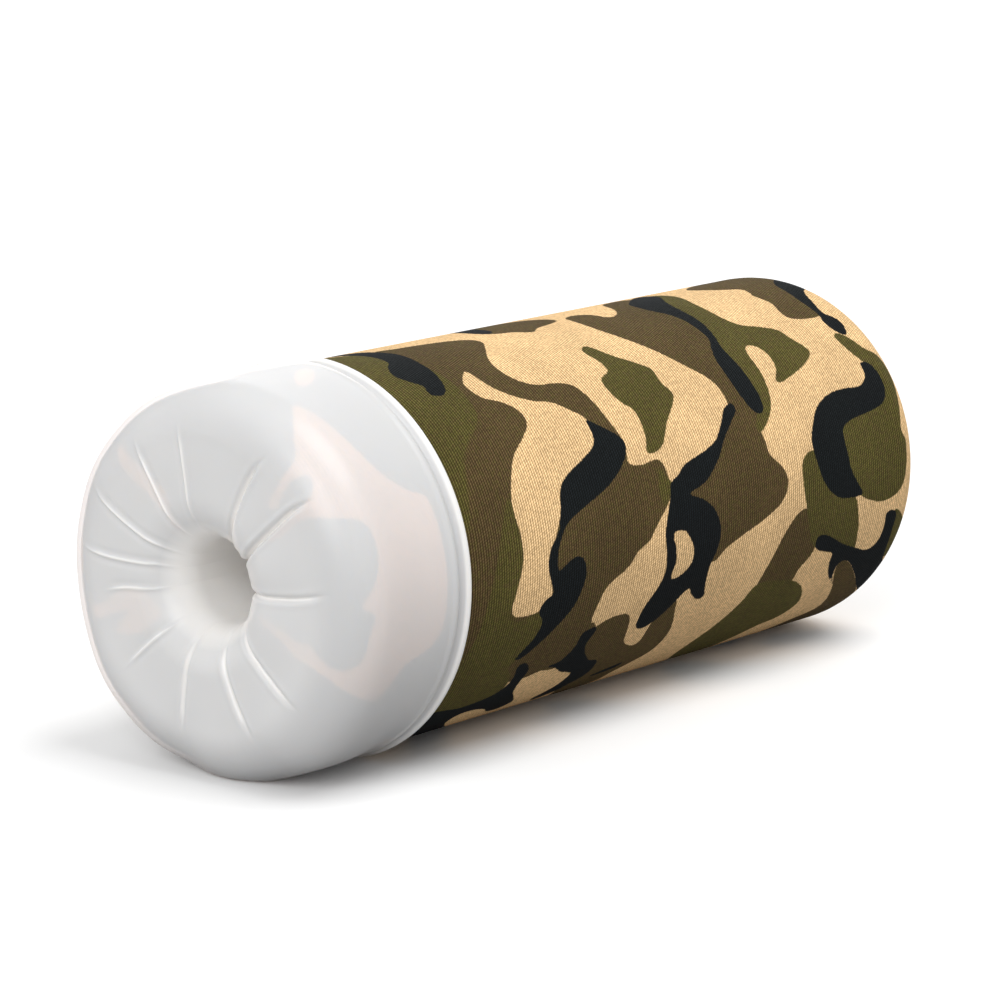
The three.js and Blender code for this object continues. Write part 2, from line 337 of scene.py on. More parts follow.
def mesh_of(name, rows, ends=None, uv=None):
    """A closed mesh from rows of points. The last row joins the first or, where the ends' places
    in y are given, the first and last row are closed on the axis."""
    m, n = rows.shape[:2]
    points = rows.reshape(-1, 3)
    i, j = np.meshgrid(np.arange(m - 1 if ends else m), np.arange(n), indexing="ij")
    a = i * n + j
    b = i * n + (j + 1) % n
    c = ((i + 1) % m) * n + (j + 1) % n
    d = ((i + 1) % m) * n + j
    faces = np.stack([a, b, c, d], -1).reshape(-1, 4).tolist()
    for row, y in zip((0, m - 1), ends or ()):
        edge = (row * n + np.arange(n)).tolist()
        for a, b in zip(edge, edge[1:] + edge[:1]):
            faces.append([a, b, len(points)] if row else [b, a, len(points)])
        points = np.append(points, [(0, y, AXIS_Z)], axis=0)
    mesh = bpy.data.meshes.new(name)
    mesh.from_pydata((points * MM).tolist(), [], faces)
    mesh.polygons.foreach_set("use_smooth", [True] * len(mesh.polygons))
    if uv is not None:
        corner = np.zeros(len(mesh.loops), int)
        mesh.loops.foreach_get("vertex_index", corner)
        flat = np.zeros((len(points), 2))
        flat[: m * n] = uv.reshape(-1, 2)
        values = flat[corner]
        layer = mesh.uv_layers.new(name="cloth")
        # a face that goes past the last column keeps its corners together
        sizes = np.zeros(len(mesh.polygons), int)
        mesh.polygons.foreach_get("loop_total", sizes)
        face = np.repeat(np.arange(len(sizes)), sizes)
        most = np.full(len(sizes), -np.inf)
        np.maximum.at(most, face, values[:, 1])
        wrap = (most[face] - values[:, 1]) > np.ptp(uv[..., 1]) / 2
        values[wrap, 1] += PRINT_ROUND
        layer.data.foreach_set("uv", values.ravel().astype(np.float32))
    mesh.validate()
    outward(mesh)
    return linked(name, mesh)


def outward(mesh):
    """Turns every face of a closed mesh outwards."""
    b = bmesh.new()
    b.from_mesh(mesh)
    bmesh.ops.recalc_face_normals(b, faces=b.faces)
    b.to_mesh(mesh)
    b.free()
    mesh.update()


def attribute(obj, name, values):
    """Gives each point a value for the shader; points past the rows take the last one."""
    layer = obj.data.attributes.new(name, "FLOAT", "POINT")
    full = np.full(len(obj.data.vertices), float(values.flat[-1]))
    full[: values.size] = values.ravel()
    layer.data.foreach_set("value", full.astype(np.float32))


def mouth_path(bore, counts, cuff):
    """Out of the bore, over the lip, the face and the corner, and along the cuff. bore and cuff
    are the ends and row counts of the straight parts."""
    lip, face, corner = counts
    return joined(
        *[line_rows((BORE, a), (BORE, b), count, (-1, 0)) for a, b, count in bore],
        arc_rows(LIP_RHO, LIP_Y, LIP, 180, 270, lip),
        line_rows((LIP_RHO, FACE_Y), (CORNER_RHO, FACE_Y), face, (0, -1)),
        arc_rows(CORNER_RHO, CORNER_Y, MOUTH_CORNER, -90, 0, corner),
        *[line_rows((CUFF_RADIUS, a), (CUFF_RADIUS, b), count, (1, 0)) for a, b, count in cuff],
    )


def mouth_row(p, n, depth, extra=0.0):
    """The points of a row that lies a depth under the mouth's surface, its mean place in the
    profile, and its angles."""
    lobes = columns(p[0])
    rho, y = p[:, None] + n[:, None] * (mouth_shape(p, *lobes) + extra - depth)
    lowest = depth if p[0] > CORNER_RHO or p[1] < LIP_Y else FREE
    return placed(rho, y, lobes[0], lowest), (rho.mean(), y.mean()), lobes[0]


# ---- The sleeve ----
BEAD_SIZE = 0.65
BEAD_THICK = 0.8  # how milky the bead is, from 0 to 1


def sleeve():
    # the rows are closer together where the hole can be looked into, and at the groove
    seen_y, groove_y = LIP_Y + 26, BEAD_Y - 5.5
    bore = [(TIP_Y, seen_y, 14), (seen_y, LIP_Y, 18)]
    cuff = [(CORNER_Y, groove_y, 16), (groove_y, BEAD_Y - 0.9, 18)]
    path, normal = mouth_path(bore, (36, 26, 24), cuff)
    tip = arc_rows(0, TIP_Y, BORE, 88, 4, 8)

    def milk_and_painted_light_at(p):
        """How milky and opaque the sleeve is painted, from 0 to 1. In the bore it is white and opaque,
        painted light that lifts the shade in the hole; on the face it is a little more opaque; along
        the far rim it is whiter, a painted sheen where the rim is seen edge-on; along the folds it is
        whiter, partly for the thicker folded elastomer and partly as a painted highlight.
        """
        angle, _, near, nearest = columns(p[0])
        # in and near the bore the sleeve is painted white and opaque: painted light that lifts the
        # shade in the hole
        bore_side = smooth(BORE + 6.5, BORE + 1, p[0]) if p[0] < LIP_RHO else 0.0
        on_face = p[0] < CORNER_RHO or p[1] < CORNER_Y
        # a painted sheen: the far rim, which the camera sees edge-on, is painted whiter and more opaque
        far_side = smooth(0.1, 0.5, -np.sin(angle * DEG))
        rim = 0.5 * smooth(CUFF_RADIUS - 2.6, CUFF_RADIUS - 0.4, p[0]) * far_side
        if not on_face:
            return rim * smooth(CORNER_Y + 9, CORNER_Y, p[1])
        face_side = 0.3 * smooth(CORNER_RHO + 6, CORNER_RHO - 2, p[0])
        # along the folds the sleeve is painted whiter: partly the thicker folded elastomer, partly a
        # painted highlight
        return np.maximum(np.maximum(max(bore_side, face_side), rim), fold(p[0], near, nearest))

    rows = [placed(p[0] + EVERY_COLUMN, p[1], columns(BORE)[0], FREE) for p in tip[0]]
    # the tip in the bore is painted white and opaque, the same painted light as in the bore
    milk_and_painted_light = [EVERY_COLUMN + 1] * len(rows)
    for p, n in zip(path, normal):
        rows.append(mouth_row(p, n, 0.0, band(p[1]) if p[0] > CORNER_RHO else 0.0)[0])
        milk_and_painted_light.append(milk_and_painted_light_at(p))
    bead = arc_rows(CUFF_RADIUS + 0.05, BEAD_Y, BEAD_SIZE, -70, 205, 13)
    waist = mouth_shape(np.array([CUFF_RADIUS, BEAD_Y]), *columns(CUFF_RADIUS))
    rows += [placed(p[0] + waist, p[1], columns(CUFF_RADIUS)[0], 0.0) for p in bead[0]]
    milk_and_painted_light += [EVERY_COLUMN + BEAD_THICK] * len(bead[0])
    back = range(len(path) - 3, -1, -3)
    rows += [mouth_row(path[k], normal[k], SLEEVE)[0] for k in back]
    milk_and_painted_light += [milk_and_painted_light_at(path[k]) for k in back]
    # the outer side of the tip is painted white and opaque, as in the bore
    outer = arc_rows(0, TIP_Y, BORE + SLEEVE, 4, 88, 8)
    rows += [placed(p[0] + EVERY_COLUMN, p[1], columns(BORE)[0], FREE) for p in outer[0]]
    milk_and_painted_light += [EVERY_COLUMN + 1] * len(outer[0])
    obj = mesh_of("sleeve", np.array(rows), (TIP_Y + BORE, TIP_Y + BORE + SLEEVE))
    attribute(obj, "milk_and_painted_light", np.array(milk_and_painted_light))
    return obj


# ---- The cover ----
INNER_STEP = 6  # the cover's hidden side has one row for so many outside


def cover_at(depth):
    """Rows of one side of the cover, from the hem in the bore to the closed end's seam."""
    path, normal = mouth_path([(HEM_Y, LIP_Y, 12)], (14, 10, 14), [(CORNER_Y, BEAD_Y, 19)])
    mouth = [mouth_row(p, n, COVER_DEPTH + depth) for p, n in zip(path, normal)]
    rows, places, angles = (list(part) for part in zip(*mouth))
    start = mouth_shape(np.array([CUFF_RADIUS, BEAD_Y]), *columns(CUFF_RADIUS))
    swelling = np.linspace(BEAD_Y, STEP_Y, 9)[1:]
    straight = np.linspace(STEP_Y, BACK_Y - BACK_CORNER, 146)[1:]
    for y in [*swelling, *straight]:
        t = smooth(BEAD_Y, STEP_Y, y)
        angle = columns(CUFF_RADIUS, t)[0]
        front = CUFF_RADIUS - COVER_DEPTH + start * (1 - t)
        rho = front * (1 - t) + BODY_RADIUS * t - depth
        rho = rho + 0.1 * ripple(angle, 8) * t * math.sin((y - STEP_Y) / 19)
        rho = rho + t * body_shape(angle)
        rows.append(placed(rho, y, angle, depth + COVER_DEPTH * (1 - t)))
        places.append((rho.mean(), y))
        angles.append(angle)
    angle = columns(CUFF_RADIUS, 1.0)[0]
    centre = BODY_RADIUS - BACK_CORNER
    end, _ = arc_rows(centre, BACK_Y - BACK_CORNER, BACK_CORNER - depth, 0, 90, 16)
    end = np.concatenate([end[1:], [[PANEL_RADIUS + 1.8, BACK_Y - depth]]])
    end = np.concatenate([end, [[PANEL_RADIUS + 1.0, BACK_Y - depth - 0.2 * (depth == 0)]]])
    for rho, y in end:
        share = smooth(centre, BODY_RADIUS, rho)
        wide = rho + share * body_shape(angle)
        rows.append(placed(wide, y, angle, depth if rho > BODY_RADIUS - 8 else FREE))
        places.append((rho, y))
        angles.append(angle)
    return np.array(rows), np.array(places), np.array(angles), len(path)


def body_shape(angle):
    """How far the body stands out: it bulges beside the strip that it lies on, and the lengthwise
    seam pulls a shallow groove into the cloth."""
    from_seam = turned_from(SEAM_ANGLE, angle) * DEG * BODY_RADIUS
    return 0.3 * hill(turned_from(180, angle), 0, 40) - 0.35 * hill(from_seam, 0, 1.3)


def cover():
    rows, places, angles, front = cover_at(0.0)
    inner, _, inner_angles, _ = cover_at(FABRIC)
    step = np.append(0, np.cumsum(np.linalg.norm(np.diff(places, axis=0), axis=1)))
    along = step - step[front - 1]
    all_rows = np.concatenate([rows, inner[::-1][::INNER_STEP]])
    u = np.concatenate([along, along[::-1][::INNER_STEP]])
    angles = np.concatenate([angles, inner_angles[::-1][::INNER_STEP]])
    uu = np.broadcast_to(u[:, None], angles.shape)
    uv = np.stack([uu, angles * PER_DEGREE], -1)
    obj = mesh_of("camo_cover", all_rows, uv=uv)
    return obj, uu, angles


# ---- The print ----
# Outlines on the unrolled cloth, in pairs: mm from the bead towards the closed end, and degrees
# round from the top. Each is drawn through with a smooth curve. Tan is the ground.
BROWN = [
    [21, -3,  27, -2,  33, -1,  41, 1,  46, 4,  47, 8,  44, 13,  40, 19,  38.5, 25,  40, 31,  44, 34.5,
     50, 35.5,  54, 37.5,  56, 43,  57.5, 52,  59, 60,  58, 66,  62, 67.5,  67, 67,  69, 69,  69.5, 75,
     68.5, 80,  64, 86,  61, 90.5,  57, 93,  54, 97,  48, 101,  45.5, 106,  44.5, 112,  44, 118,
     38, 126,  30, 129.5,  24, 129,  19, 128,  14, 122,  8, 117,  1, 119,  -6, 115,  -6, 95,  -3, 80,
     2, 66,  8, 52,  14, 40,  15, 20,  15, 5],
    [52, -2,  55, 3,  60, 5,  64, 8,  68, 5.5,  74, 4,  77.5, 2,  77, -2,  74, -7,  70, -12,  64, -17,
     56, -20,  53, -12],
    [80, 4,  81, 1.5,  84, 0,  87.5, 1.5,  89, 4.5,  90, 8,  93, 8,  96, 5,  98, 1,  101, -6,  106, -10,
     112, -6,  112, 40,  107, 58,  105, 65,  105.5, 70,  106, 74,  110, 79,  111.2, 84,  109, 89,
     105, 92,  99.5, 94.7,  94, 97.1,  89, 99.7,  85, 103.2,  80, 98,  73, 84,  75, 75,  90, 66,
     97, 57,  97.7, 50,  96, 45,  92, 39,  87, 30,  82, 20,  80, 12],
    [130.5, -4,  132, 0,  136, 4,  140.5, 7,  140, 11,  139, 14,  140, 20,  138.5, 26,  139.5, 29.5,
     144, 31,  150, 30.5,  152, 22,  152, 12,  156, 4,  163, 0,  170, -6,  166, -16,  158, -20,
     148, -17,  140, -12,  134, -8],
    [33, 117,  39, 114,  46, 113,  47, 119,  43, 127,  38, 129,  33, 126],
    [45, 117,  50, 113.5,  56, 113,  59, 115,  60.5, 121,  62, 126,  66, 129,  68.5, 128,  69, 120,
     74, 112,  76.5, 119,  78.7, 126,  79, 132,  77.5, 137.5,  73.5, 142,  70.5, 146.5,  70, 152,
     68, 158,  62, 162,  57, 158,  52, 146,  50, 136,  47, 128,  42, 122],
    [123, 96,  118, 93.5,  114, 95.5,  110.5, 101,  108, 108,  106, 116,  106, 126,  116, 128,
     120, 120,  121, 115,  124, 110,  124, 103],
    [137, 117.5,  141, 118,  148, 126,  154, 134,  158, 142,  158, 152,  150, 160,  142, 162,  134, 156,
     138, 148,  144, 143,  144, 137,  141, 129,  138, 123],
]
OLIVE = [
    [-8, -16,  8, -14,  14, -6,  20, 5,  22, 20,  22, 33,  20, 42,  13, 49,  9, 54,  6, 64,  3, 75,
     -3, 85,  -8, 70,  -7, 30],
    [17.5, 68,  19, 78,  20, 88,  17, 95,  15.5, 101,  18, 105,  25, 104,  28, 108,  24, 117,  21, 122,
     24, 127,  24, 134,  16, 140,  6, 141,  -4, 139,  -7, 124,  2, 116,  6, 106,  8, 95,  11, 83,
     14, 74],
    [68, 23.5,  70, 22.5,  71.5, 25,  74, 29.5,  79, 35,  81.3, 38,  80.8, 43,  82, 48,  80, 51.5,
     75, 57,  71, 63,  67, 65,  65, 64,  66.5, 59,  67, 51,  64.5, 47,  63.2, 42,  64, 37.5,  68, 35,
     68.2, 30,  67, 26],
    [113, -4,  117, -7,  120, -5,  121, 0,  120.5, 5,  119, 12,  119, 21,  121, 27,  126, 30,  131, 33,
     133, 38,  135.5, 44,  131, 48,  124, 51,  118.5, 52.5,  118, 51,  120.5, 47,  121, 42,  119.5, 38,
     116.5, 37,  114.8, 40,  114.5, 48,  113, 56,  110, 62,  105, 66.5,  104, 64,  107, 58,  109, 45,
     108, 35,  109, 20,  110, 8],
    [67.6, 69.5,  69, 72.5,  70.4, 75,  70, 78,  68.5, 80,  67, 81.2,  66, 80,  65.8, 76,  66.4, 72],
    [147.5, 41,  149.5, 39.5,  152, 42,  155, 47.5,  159, 51,  161, 58,  158.5, 68,  156.5, 76,
     158, 80,  157.5, 88,  156, 94,  153, 97,  148, 98,  142, 96,  138, 93,  134, 88,  131, 80,
     132, 72,  140, 66,  150, 62,  152, 54,  149, 47],
    [116.8, 81,  118, 77.5,  121, 75.8,  126, 78,  130, 88,  137, 94,  139, 100,  140.5, 107,  141, 115,
     134, 113,  124, 108,  120, 100,  117.5, 90],
    [115, 118,  121, 120,  126, 124,  129.5, 130,  130, 135,  127, 140,  121, 143,  116, 150,  112, 160,
     104, 164,  97, 154,  94, 146,  95, 139,  99, 131,  103, 123,  106, 117],
    [154, 102,  159, 106,  164, 112,  161, 121,  156, 120,  154, 110],
]
BLACK = [
    [8, -25,  12, -14,  15, -4,  16, 2,  15.5, 9,  12.5, 13,  10.5, 18,  12, 22.5,  14, 25.5,  13, 29.5,
     16, 31,  18.5, 29,  21, 22,  22, 14,  22.5, 5,  21, -3,  18, -12,  13, -26,  9, -32],
    [50.5, 50,  50.5, 54.5,  49, 58.5,  44, 61.8,  38, 65,  34.3, 68.5,  32.5, 75,  31, 80.5,  28, 85,
     26.8, 89.5,  27.5, 94,  29, 98.5,  26, 101,  25, 104,  27, 107.5,  25.5, 113,  21.8, 118.5,
     24, 119.3,  28.5, 115,  32.5, 110.5,  36.5, 105.5,  39, 99,  39.6, 94,  38.2, 90.3,  35.5, 89.5,
     32, 91.5,  30.2, 92.3,  30, 88,  31.5, 83,  35, 78.5,  42, 75,  50, 71,  56, 66,  58.9, 61.5,
     58.6, 58,  55.5, 54.5,  52, 51],
    [5, 135.5,  14, 137,  22, 135,  25, 131,  25.3, 126.5,  24.3, 122.8,  27, 122,  29.5, 126,
     29.3, 131,  30.5, 136.5,  33.5, 141,  36, 145.5,  34, 149.5,  30, 149,  26, 144.5,  20, 142,
     16, 143,  15.5, 147,  18.5, 152,  25, 160,  31, 168,  26, 172,  16, 164,  6, 154,  -4, 148,
     -10, 138],
    [36.5, 127,  40, 126,  42.5, 121.5,  43, 116.5,  46, 115,  48, 116,  46.5, 121,  48, 125,  52, 130,
     56, 132,  57.2, 137,  56.6, 141.5,  54.5, 144.5,  53, 149,  49, 154,  46, 150,  47.5, 145,
     48.5, 142,  49, 135.5,  44, 132.5,  40, 129],
    [69.8, 139,  67, 139.6,  63.5, 140.9,  60, 143,  63.5, 143.3,  67, 142.6,  69.2, 141.2],
    [52, -3,  54, 2,  57, 0,  58, -6,  60, -12,  56, -16,  53, -9],
    [104, 3,  105, 0,  108, -3,  112, -7,  118, -10,  118, -2,  114, 5,  112, 12,  111.5, 22,  110, 30,
     108.5, 36,  109, 45,  109.5, 55,  108.5, 60,  106, 60.5,  104, 57,  102.8, 50,  103, 41,  105, 35,
     107.5, 30,  107.5, 20,  106, 14,  104, 9],
    [99, 55.5,  95.6, 56.6,  92, 61.5,  88, 66,  82, 68.5,  76, 70.5,  73, 73,  70, 75,  69, 79,
     67.5, 84,  66.5, 90,  67.5, 98,  67.5, 103,  65.5, 108,  63.4, 112,  62.6, 116.5,  63.4, 120.5,
     66.5, 121.6,  70, 119.5,  74, 115,  78, 110.5,  80, 113,  83, 115.8,  85.5, 115.5,  84.5, 111.5,
     84, 105,  86, 98,  86.2, 92,  84, 86,  80, 82,  76, 79.5,  82, 77,  88, 71,  91.5, 66,  96.3, 61,
     99.2, 58],
    [149.5, 30,  148.5, 34,  149.5, 38.5,  152, 41,  154, 37,  153.5, 33,  151.5, 30,  152.5, 25,
     155, 18,  160, 14,  166, 12,  170, 6,  167, 0,  161, 0,  156, 4,  152, 9,  150.5, 15,  149.5, 22],
    [151, 51.5,  153.5, 53,  155, 58,  154.5, 63,  152, 66.5,  147, 68,  138, 69.5,  134.5, 72,
     134.5, 78,  135.5, 85,  138, 90,  140, 93.5,  136, 94,  130, 92.5,  125, 87,  122.7, 80,  122, 73,
     124.5, 67,  128, 62.5,  134, 59.5,  140, 59,  146, 59.3,  149.5, 56.5,  150, 52.5],
    [124, 105.5,  126, 104.2,  130, 106,  136, 110,  142, 113,  147, 115,  150, 113,  151, 108,
     150.5, 103,  153, 102,  155, 104,  155, 110,  156, 118,  159, 124,  166, 130,  166, 139,  160, 140,
     154, 134,  148, 126,  141, 118,  137, 118,  138, 124,  142, 129,  136, 123,  133, 117,
     132.5, 112.5,  129, 111,  125, 109],
]
TAN = [
    [30, 23,  28.5, 23.5,  25.5, 27,  24.6, 30,  26, 35,  30, 38,  33, 42,  33, 47,  29, 51.5,  24, 56,
     20.5, 62,  18, 70,  18.5, 78,  18.8, 86,  16.5, 96,  15.8, 101,  18, 103.5,  25, 103.5,  28.5, 100,
     28, 95,  27.6, 90,  29.5, 83,  32.5, 76,  36, 70,  40, 67,  48, 62,  51.5, 56,  51, 50,  48, 46,
     44, 42,  39, 40,  34, 36,  31, 31,  30, 25],
]
EYE = [
    [69.3, 91,  71, 89.8,  74, 91,  77, 97,  76.5, 102,  73, 104.8,  70, 104.5,  71, 100,  70.5, 95],
]
# Tan that shows through the sleeve, and on the far side under the cuff.
UNDER_TAN = [
    [-4, 206,  -10, 210,  -18, 220,  -30, 226,  -33, 216,  -22, 208,  -16, 198,  -8, 196],
    [-3, 270,  -12, 268,  -22, 272,  -32, 264,  -33, 276,  -24, 290,  -12, 292,  -4, 284],
    [-4, 318,  -12, 316,  -20, 324,  -28, 328,  -24, 318,  -14, 308,  -6, 306],
    [-23, 22,  -21, 27,  -20, 33,  -18, 45,  -15, 53,  -10, 59,  -6, 62,  -5, 75,  -5, 90,  -6, 102,
     -10, 107,  -16, 110,  -21, 118,  -25, 118,  -31, 115,  -38, 112,  -44, 113,  -48, 110,  -55, 107,
     -57, 104,  -50, 104,  -44, 106,  -41, 104,  -37, 108,  -33, 109,  -29, 105,  -28, 97,  -27, 91,
     -30, 89,  -27, 83,  -25, 76,  -25, 68,  -27, 64,  -32, 61,  -38, 57,  -46, 58,  -50, 54,  -42, 52,
     -37, 53,  -33, 50,  -33, 45,  -37, 44,  -43, 47,  -44, 43,  -39, 41,  -33, 39,  -30, 33,  -26, 26],
    [-15, 14,  -10, 12,  -5, 6,  -4, 2,  -8, 3,  -13, 9],
    [-36, 254,  -42, 256,  -49, 262,  -53, 258,  -56, 240,  -50, 236,  -46, 238,  -42, 243,  -48, 249,
     -42, 250,  -38, 250],
    [-34, 316,  -37, 313,  -43, 314,  -48, 318,  -53, 320,  -59, 318,  -60, 322,  -55, 326,  -50, 330,
     -46, 326,  -40, 320],
]


# Round the closed end, past the edge that the mouth's side shows, along the top of the far side
# and under the cuff there.
BROWN_END = [
    [166, 28,  170, 24,  178, 26,  188, 30,  188, 52,  178, 50,  171, 44,  167, 36],
    [168, 98,  173, 92,  188, 90,  188, 112,  176, 116,  169, 108],
    [160, 182,  168, 176,  178, 180,  188, 188,  188, 214,  176, 210,  166, 200,  160, 192],
    [163, 262,  170, 254,  180, 258,  188, 264,  188, 284,  175, 286,  166, 276],
    [12, 324,  18, 316,  28, 315,  36, 322,  38, 331,  30, 338,  20, 335,  14, 331],
    [88, 318,  96, 311,  108, 313,  118, 321,  124, 332,  116, 338,  104, 333,  94, 330],
]
OLIVE_END = [
    [167, 62,  172, 56,  180, 58,  188, 64,  188, 84,  178, 88,  171, 80],
    [169, 132,  175, 126,  188, 130,  188, 150,  177, 156,  170, 146],
    [158, 222,  166, 216,  176, 222,  188, 226,  188, 246,  174, 248,  164, 240],
    [160, 300,  168, 292,  179, 296,  188, 302,  188, 326,  174, 330,  164, 320],
    [48, 311,  56, 305,  66, 309,  72, 318,  82, 325,  80, 333,  70, 336,  60, 329],
    [130, 316,  138, 309,  148, 313,  152, 324,  146, 334,  136, 336,  131, 327],
    [-4, 186,  -12, 182,  -22, 186,  -30, 196,  -27, 208,  -16, 206,  -8, 200],
    [-2, 232,  -10, 226,  -20, 230,  -31, 238,  -28, 250,  -18, 252,  -12, 262,  -4, 258],
    [-8, 290,  -16, 282,  -27, 286,  -32, 298,  -24, 308,  -14, 304],
]
BLACK_END = [
    [170, 50,  174, 46,  180, 52,  184, 60,  180, 66,  176, 60,  171, 57],
    [170, 112,  176, 110,  182, 118,  186, 126,  180, 134,  174, 126,  169, 120],
    [162, 208,  168, 204,  174, 212,  176, 224,  171, 230,  167, 220],
    [164, 284,  170, 280,  176, 288,  178, 300,  172, 304,  167, 294],
    [170, 340,  176, 334,  184, 342,  184, 358,  178, 364,  172, 354],
    [40, 317,  46, 313,  52, 318,  58, 326,  68, 331,  65, 337,  56, 335,  47, 329],
    [112, 311,  118, 307,  126, 312,  134, 322,  133, 330,  126, 326,  118, 319],
    [-14, 204,  -20, 200,  -26, 210,  -30, 222,  -25, 230,  -21, 220,  -16, 214],
    [-6, 262,  -12, 258,  -17, 268,  -26, 272,  -31, 282,  -26, 288,  -18, 280,  -10, 274],
    [-10, 312,  -16, 306,  -24, 314,  -31, 322,  -26, 328,  -18, 322],
]


def pairs(outline):
    return np.array(outline, float).reshape(-1, 2)


def smoothed(outline, steps=6):
    """A closed curve through the points, in mm on the unrolled cloth."""
    p = pairs(outline) * (1, PER_DEGREE)
    a, b, c, d = np.roll(p, 1, 0), p, np.roll(p, -1, 0), np.roll(p, -2, 0)
    t = (np.arange(steps) / steps)[None, :, None]
    a, b, c, d = (x[:, None, :] for x in (a, b, c, d))
    curve = 0.5 * (
        2 * b + (c - a) * t + (2 * a - 5 * b + 4 * c - d) * t**2 + (3 * b - a - 3 * c + d) * t**3
    )
    return curve.reshape(-1, 2)


REACH = 5.0


def distance(shapes, u, v):
    """The signed distance to the nearest outline, in mm, negative inside, as far as REACH."""
    result = np.full(u.shape, REACH)
    for shape in shapes:
        curve = smoothed(shape)
        middle = (curve[:, 1].min() + curve[:, 1].max()) / 2
        w = (v - middle + PRINT_ROUND / 2) % PRINT_ROUND - PRINT_ROUND / 2 + middle
        low, high = curve.min(0) - REACH, curve.max(0) + REACH
        near = (u > low[0]) & (u < high[0]) & (w > low[1]) & (w < high[1])
        index = np.nonzero(near)[0]
        if not len(index):
            continue
        px, py = u[index], w[index]
        a, b = curve, np.roll(curve, -1, 0)
        best = np.full(len(index), np.inf)
        inside = np.zeros(len(index), bool)
        for (ax, ay), (bx, by) in zip(a, b):
            ex, ey = bx - ax, by - ay
            t = np.clip(((px - ax) * ex + (py - ay) * ey) / (ex * ex + ey * ey + 1e-12), 0, 1)
            best = np.minimum(best, (px - ax - t * ex) ** 2 + (py - ay - t * ey) ** 2)
            slope = ex / (ey if abs(ey) > 1e-12 else 1e-12)
            inside ^= ((ay > py) != (by > py)) & (px < slope * (py - ay) + ax)
        signed = np.where(inside, -1, 1) * np.minimum(np.sqrt(best), REACH)
        result[index] = np.minimum(result[index], signed)
    return result


FAR_ORIGIN = (157, 312.2)  # where the print's origin goes when it is turned over
FAR_NARROWER = 0.86


def turned_over(shapes):
    """The same outlines for the far side: turned half round and a little narrower."""
    return [FAR_ORIGIN - pairs(shape) * (1, FAR_NARROWER) for shape in shapes]


def paint(obj, u, angle):
    """Gives each point its distance into the brown, the olive and the black."""
    u, v = u.ravel(), (angle * PER_DEGREE).ravel()
    # under the cuff, the side that faces the camera is brown and tan only
    turn = angle.ravel() % 360
    hidden = smooth(166, 184, turn) * (1 - smooth(318, 336, turn))
    wave = np.sin(7 * turn * DEG + 1)
    from_hem = np.clip(2.2 * wave - 8 - 26 * hidden - u, -REACH, REACH)

    def layer(shapes, end=()):
        far = np.maximum(distance(turned_over(shapes), u, v), from_hem)
        return np.minimum(distance([*shapes, *end], u, v), far)

    eye = layer(EYE)
    tan = np.minimum(np.minimum(layer(TAN), eye), distance(UNDER_TAN, u, v))
    under = np.clip(u + 2 + hidden * (9 + 6 * wave), -REACH, REACH)
    brown = np.maximum(np.minimum(layer(BROWN, BROWN_END), under), -tan)
    olive = np.maximum(np.maximum(layer(OLIVE, OLIVE_END), -tan), from_hem)
    black = np.maximum(np.maximum(layer(BLACK, BLACK_END), -eye), from_hem)
    for name, ink in (("brown", brown), ("olive", olive), ("black", black)):
        attribute(obj, name, ink)


